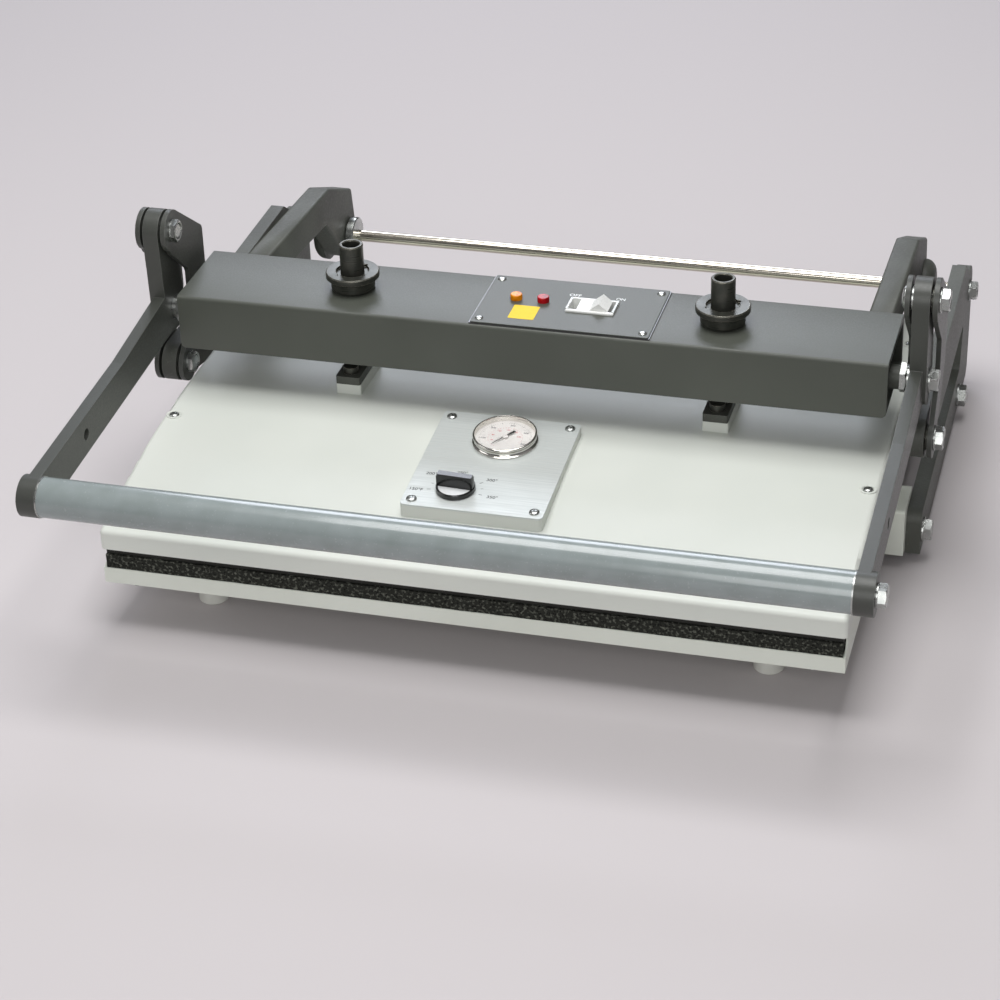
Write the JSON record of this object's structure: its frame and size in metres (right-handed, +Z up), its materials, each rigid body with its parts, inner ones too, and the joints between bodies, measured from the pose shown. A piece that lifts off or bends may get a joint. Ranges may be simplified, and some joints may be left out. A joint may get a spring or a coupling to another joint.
{
  "type": "dry mounting press",
  "caption": "Tabletop dry mounting press: a heated platen on a hinged beam, pressed on a sponge pad by an over-centre handle bar, with thermostat, thermometer and rocker switch.",
  "frame": {"origin": "on the surface that the feet stand on, at mid-width and mid-depth", "axes": "+X to the operator's right, +Y from the handle to the hinge at the rear, +Z up"},
  "size_m": [0.6814, 0.647, 0.2705],
  "materials": {
    "cover_enamel": "smooth light grey enamel",
    "tray_enamel": "smooth light grey enamel",
    "grey_enamel": "satin charcoal enamel",
    "textured_black": "coarse textured black paint on castings and plate",
    "handle_black": "satin black paint",
    "grip_grey": "glossy blue-grey enamel on tube",
    "blackened_steel": "turned and blackened",
    "zinc_steel": "bright zinc plate",
    "polished_rod": "drawn bright bar",
    "bright_steel": "polished stainless",
    "platen_aluminium": "hard-anodised cast plate",
    "plate_aluminium": "satin printed plate",
    "sponge_rubber": "open-cell speckled charcoal",
    "white_nylon": "turned",
    "heater_steel": "heat-tinted",
    "insulation_felt": "needled glass felt",
    "dial_white": "printed dial",
    "glass": "flat window",
    "black_plastic": "moulded",
    "switch_white": "moulded",
    "amber_lens": "domed lens",
    "red_lens": "domed lens"
  },
  "bodies": {
    "base": {"base_tray": "tray_enamel", "feet": "white_nylon", "base_screws": "zinc_steel", "sponge_pad": "sponge_rubber", "front_cross_channel": "tray_enamel", "rear_cross_channel": "tray_enamel", "side_frame_left": "textured_black", "side_frame_right": "textured_black", "frame_bolts": "zinc_steel", "frame_washers": "zinc_steel", "frame_nuts": "zinc_steel", "hinge_rod": "polished_rod", "shaft_collars": "zinc_steel"},
    "yoke": {"platen": "platen_aluminium", "platen_cover": "cover_enamel", "platen_supports": "platen_aluminium", "cover_screws": "zinc_steel", "heater_element": "heater_steel", "insulation_sheet": "insulation_felt", "saddle_blocks": "cover_enamel", "hanger_plates": "textured_black", "hanger_screws": "blackened_steel", "pressure_posts": "blackened_steel", "post_collars": "blackened_steel", "beam": "grey_enamel", "pivot_blocks": "textured_black", "crank_studs": "zinc_steel", "jam_nuts": "zinc_steel", "crank_washers": "zinc_steel", "crank_nuts": "zinc_steel", "yoke_arm_left": "textured_black", "yoke_arm_right": "textured_black", "control_box": "cover_enamel", "control_plate": "plate_aluminium", "plate_screws": "zinc_steel", "thermometer_case": "bright_steel", "thermometer_dial": "dial_white", "thermometer_glass": "glass", "thermostat_body": "heater_steel", "switch_panel": "grey_enamel", "panel_screws": "zinc_steel", "amber_lamp": "amber_lens", "red_lamp": "red_lens", "switch_body": "switch_white"},
    "handle": {"handle_arm_left": "handle_black", "handle_arm_right": "handle_black", "handle_bar": "grip_grey", "grip_plugs": "zinc_steel", "grip_washers": "zinc_steel", "grip_bolts": "zinc_steel"},
    "straps": {"inner_straps": "handle_black", "outer_straps": "handle_black", "strap_bolts": "zinc_steel", "strap_washers": "zinc_steel", "strap_nuts": "zinc_steel"},
    "needle": {"thermometer_needle": "black_plastic"},
    "knob": {"thermostat_knob": "black_plastic"},
    "rocker": {"rocker": "switch_white"},
    "ring_left": {"lock_ring_left": "blackened_steel"},
    "ring_right": {"lock_ring_right": "blackened_steel"}
  },
  "joints": [
    {"name": "yoke_lift", "type": "hinge", "parent": "base", "child": "yoke", "pos_m": [0, 0.2999, 0.1045], "axis": [-1, 0, 0], "range_deg": [0, 3.9]},
    {"name": "handle_lift", "type": "hinge", "parent": "yoke", "child": "handle", "pos_m": [0, -0.0165, 0.1785], "axis": [-1, 0, 0], "range_deg": [0, 70]},
    {"name": "strap_swing", "type": "hinge", "parent": "base", "child": "straps", "pos_m": [0, -0.0119, 0.124], "axis": [-1, 0, 0], "range_deg": [0, 40.5]},
    {"name": "thermostat_turn", "type": "hinge", "parent": "yoke", "child": "knob", "pos_m": [-0.0258, -0.162, 0.11731], "axis": [0, -0.0854, 0.9963], "range_deg": [-135, 135]},
    {"name": "needle_turn", "type": "hinge", "parent": "yoke", "child": "needle", "pos_m": [-0.0045, -0.08877, 0.12358], "axis": [0, 0.0854, -0.9963], "range_deg": [0, 265]},
    {"name": "rocker_tip", "type": "hinge", "parent": "yoke", "child": "rocker", "pos_m": [0.0482, -0.00105, 0.2062], "axis": [0, 1, 0], "range_deg": [0, 38]},
    {"name": "lock_ring_left_turn", "type": "hinge", "parent": "yoke", "child": "ring_left", "pos_m": [-0.157, -0.00205, 0.21545], "axis": [0, 0, 1], "range_deg": [-180, 180]},
    {"name": "lock_ring_right_turn", "type": "hinge", "parent": "yoke", "child": "ring_right", "pos_m": [0.157, -0.00205, 0.21545], "axis": [0, 0, 1], "range_deg": [-180, 180]}
  ],
  "couplings": [
    {"joint": "yoke_lift", "follows": "handle_lift", "ratio": 0.0551},
    {"joint": "strap_swing", "follows": "handle_lift", "ratio": 0.5772}
  ]
}
